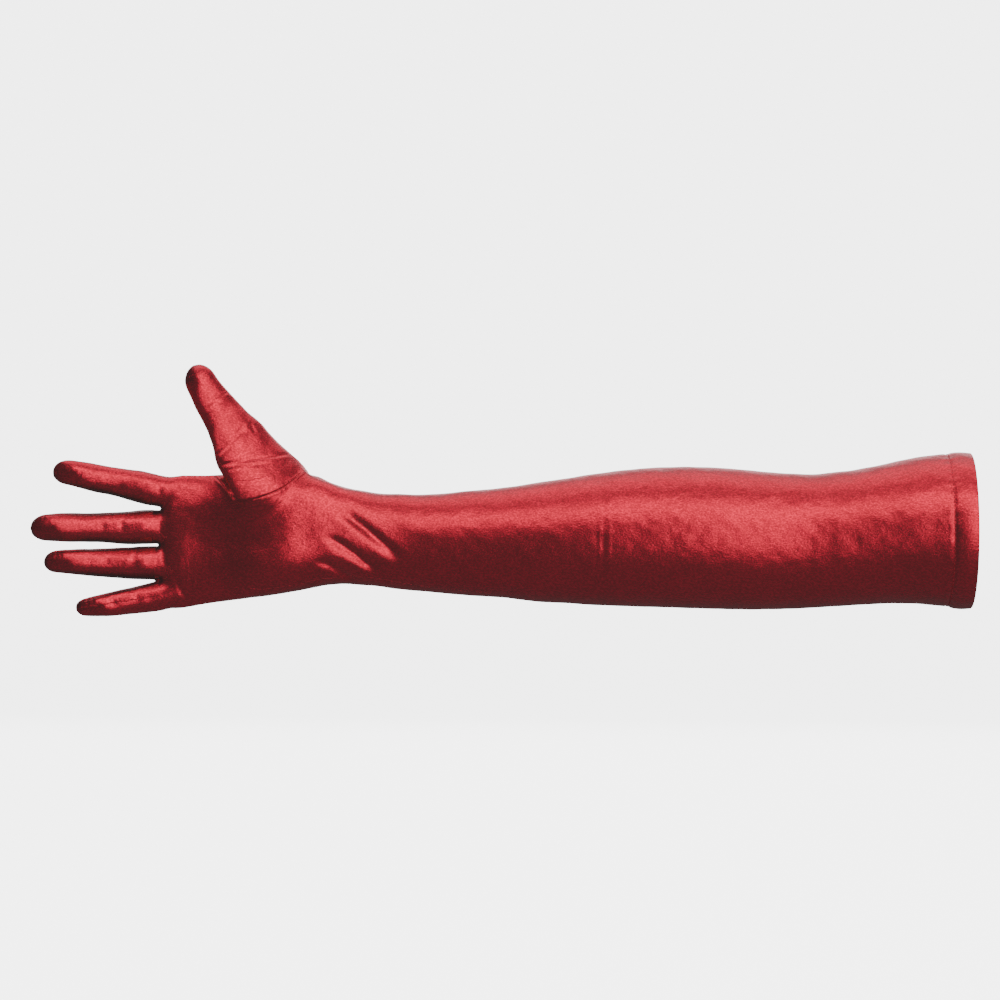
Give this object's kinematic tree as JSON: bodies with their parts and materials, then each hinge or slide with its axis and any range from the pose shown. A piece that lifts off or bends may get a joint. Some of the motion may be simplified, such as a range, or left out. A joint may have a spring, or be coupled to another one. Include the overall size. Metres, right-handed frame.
{
  "type": "opera glove",
  "caption": "Long stretch satin glove for the right hand, open at a stitched hem above the elbow, with bending elbow, wrist, thumb and fingers.",
  "frame": {"origin": "centre of the arm opening, in the plane of the hem", "axes": "+X out of the arm opening, so the fingers point along -X; +Z to the thumb's side; the palm and the crook of the elbow face -Y"},
  "size_m": [0.5597, 0.086, 0.1488],
  "materials": {
    "satin": "red stretch satin, soft sheen",
    "satin_shade": "red stretch satin, in folds and seams",
    "thread": "matte sewing thread"
  },
  "bodies": {
    "upper_sleeve": {"upper_sleeve_front": "satin", "upper_sleeve_back": "satin", "hem_fold": "satin_shade", "hem_stitching": "thread", "side_seam_upper": "satin_shade", "elbow_crook_cloth": "satin_shade"},
    "forearm": {"forearm_front": "satin", "forearm_back": "satin", "side_seam_forearm": "satin_shade", "wrist_palm_cloth": "satin_shade", "wrist_back_cloth": "satin_shade"},
    "hand": {"palm_panel": "satin", "back_panel": "satin", "side_seam_hand": "satin_shade", "fourchette_index_middle": "satin_shade", "fourchette_middle_ring": "satin_shade", "fourchette_ring_little": "satin_shade", "thumb_base": "satin", "thumb_root_cloth": "satin_shade", "index_base": "satin", "middle_base": "satin", "ring_base": "satin", "little_base": "satin", "index_root_crease": "satin_shade", "middle_root_crease": "satin_shade", "ring_root_crease": "satin_shade", "little_root_crease": "satin_shade"},
    "thumb_shaft": {"thumb_shaft": "satin", "thumb_joint_cloth": "satin_shade"},
    "thumb_tip": {"thumb_tip": "satin"},
    "index_lower": {"index_lower": "satin", "index_middle_crease": "satin_shade"},
    "index_middle": {"index_middle": "satin", "index_tip_crease": "satin_shade"},
    "index_tip": {"index_tip": "satin"},
    "middle_lower": {"middle_lower": "satin", "middle_middle_crease": "satin_shade"},
    "middle_middle": {"middle_middle": "satin", "middle_tip_crease": "satin_shade"},
    "middle_tip": {"middle_tip": "satin"},
    "ring_lower": {"ring_lower": "satin", "ring_middle_crease": "satin_shade"},
    "ring_middle": {"ring_middle": "satin", "ring_tip_crease": "satin_shade"},
    "ring_tip": {"ring_tip": "satin"},
    "little_lower": {"little_lower": "satin", "little_middle_crease": "satin_shade"},
    "little_middle": {"little_middle": "satin", "little_tip_crease": "satin_shade"},
    "little_tip": {"little_tip": "satin"}
  },
  "joints": [
    {"name": "elbow", "type": "hinge", "parent": "upper_sleeve", "child": "forearm", "pos_m": [-0.105, 0, 0], "axis": [0, 0, 1], "range_deg": [0, 90], "deforming": ["elbow_crook_cloth"]},
    {"name": "wrist", "type": "hinge", "parent": "forearm", "child": "hand", "pos_m": [-0.363, 0, 0], "axis": [0, 0, 1], "range_deg": [-60, 70], "deforming": ["wrist_palm_cloth", "wrist_back_cloth"]},
    {"name": "thumb_root", "type": "hinge", "parent": "hand", "child": "thumb_shaft", "pos_m": [-0.435, -0.002, 0.0496], "axis": [0.866, 0, 0.5], "range_deg": [0, 50], "deforming": ["thumb_root_cloth"]},
    {"name": "thumb_joint", "type": "hinge", "parent": "thumb_shaft", "child": "thumb_tip", "pos_m": [-0.44899, -0.002, 0.07385], "axis": [0.866, 0, 0.5], "range_deg": [0, 70], "deforming": ["thumb_joint_cloth"]},
    {"name": "index_root", "type": "hinge", "parent": "hand", "child": "index_lower", "pos_m": [-0.49312, 0.0068, 0.0253], "axis": [0.1788, 0, 0.9839], "range_deg": [0, 65], "deforming": ["index_root_crease"]},
    {"name": "index_middle", "type": "hinge", "parent": "index_lower", "child": "index_middle", "pos_m": [-0.50998, 0.00425, 0.02837], "axis": [0.1788, 0, 0.9839], "range_deg": [0, 85], "deforming": ["index_middle_crease"]},
    {"name": "index_tip", "type": "hinge", "parent": "index_middle", "child": "index_tip", "pos_m": [-0.52865, 0.00017, 0.03176], "axis": [0.1788, 0, 0.9839], "range_deg": [0, 34], "deforming": ["index_tip_crease"]},
    {"name": "middle_root", "type": "hinge", "parent": "hand", "child": "middle_lower", "pos_m": [-0.49455, 0.00666, 0.00172], "axis": [-0.0105, 0, 0.9999], "range_deg": [0, 65], "deforming": ["middle_root_crease"]},
    {"name": "middle_middle", "type": "hinge", "parent": "middle_lower", "child": "middle_middle", "pos_m": [-0.51505, 0.00361, 0.0015], "axis": [-0.0105, 0, 0.9999], "range_deg": [0, 85], "deforming": ["middle_middle_crease"]},
    {"name": "middle_tip", "type": "hinge", "parent": "middle_middle", "child": "middle_tip", "pos_m": [-0.53774, -0.00127, 0.00126], "axis": [-0.0105, 0, 0.9999], "range_deg": [0, 34], "deforming": ["middle_tip_crease"]},
    {"name": "ring_root", "type": "hinge", "parent": "hand", "child": "ring_lower", "pos_m": [-0.49279, 0.00674, -0.01964], "axis": [0.0087, 0, 1], "range_deg": [0, 65], "deforming": ["ring_root_crease"]},
    {"name": "ring_middle", "type": "hinge", "parent": "ring_lower", "child": "ring_middle", "pos_m": [-0.51136, 0.00398, -0.01947], "axis": [0.0087, 0, 1], "range_deg": [0, 85], "deforming": ["ring_middle_crease"]},
    {"name": "ring_tip", "type": "hinge", "parent": "ring_middle", "child": "ring_tip", "pos_m": [-0.53191, -0.00044, -0.0193], "axis": [0.0087, 0, 1], "range_deg": [0, 34], "deforming": ["ring_tip_crease"]},
    {"name": "little_root", "type": "hinge", "parent": "hand", "child": "little_lower", "pos_m": [-0.48762, 0.00691, -0.03958], "axis": [-0.1547, 0, 0.988], "range_deg": [0, 65], "deforming": ["little_root_crease"]},
    {"name": "little_middle", "type": "hinge", "parent": "little_lower", "child": "little_middle", "pos_m": [-0.50192, 0.00475, -0.04182], "axis": [-0.1547, 0, 0.988], "range_deg": [0, 85], "deforming": ["little_middle_crease"]},
    {"name": "little_tip", "type": "hinge", "parent": "little_middle", "child": "little_tip", "pos_m": [-0.51775, 0.00131, -0.0443], "axis": [-0.1547, 0, 0.988], "range_deg": [0, 34], "deforming": ["little_tip_crease"]}
  ]
}
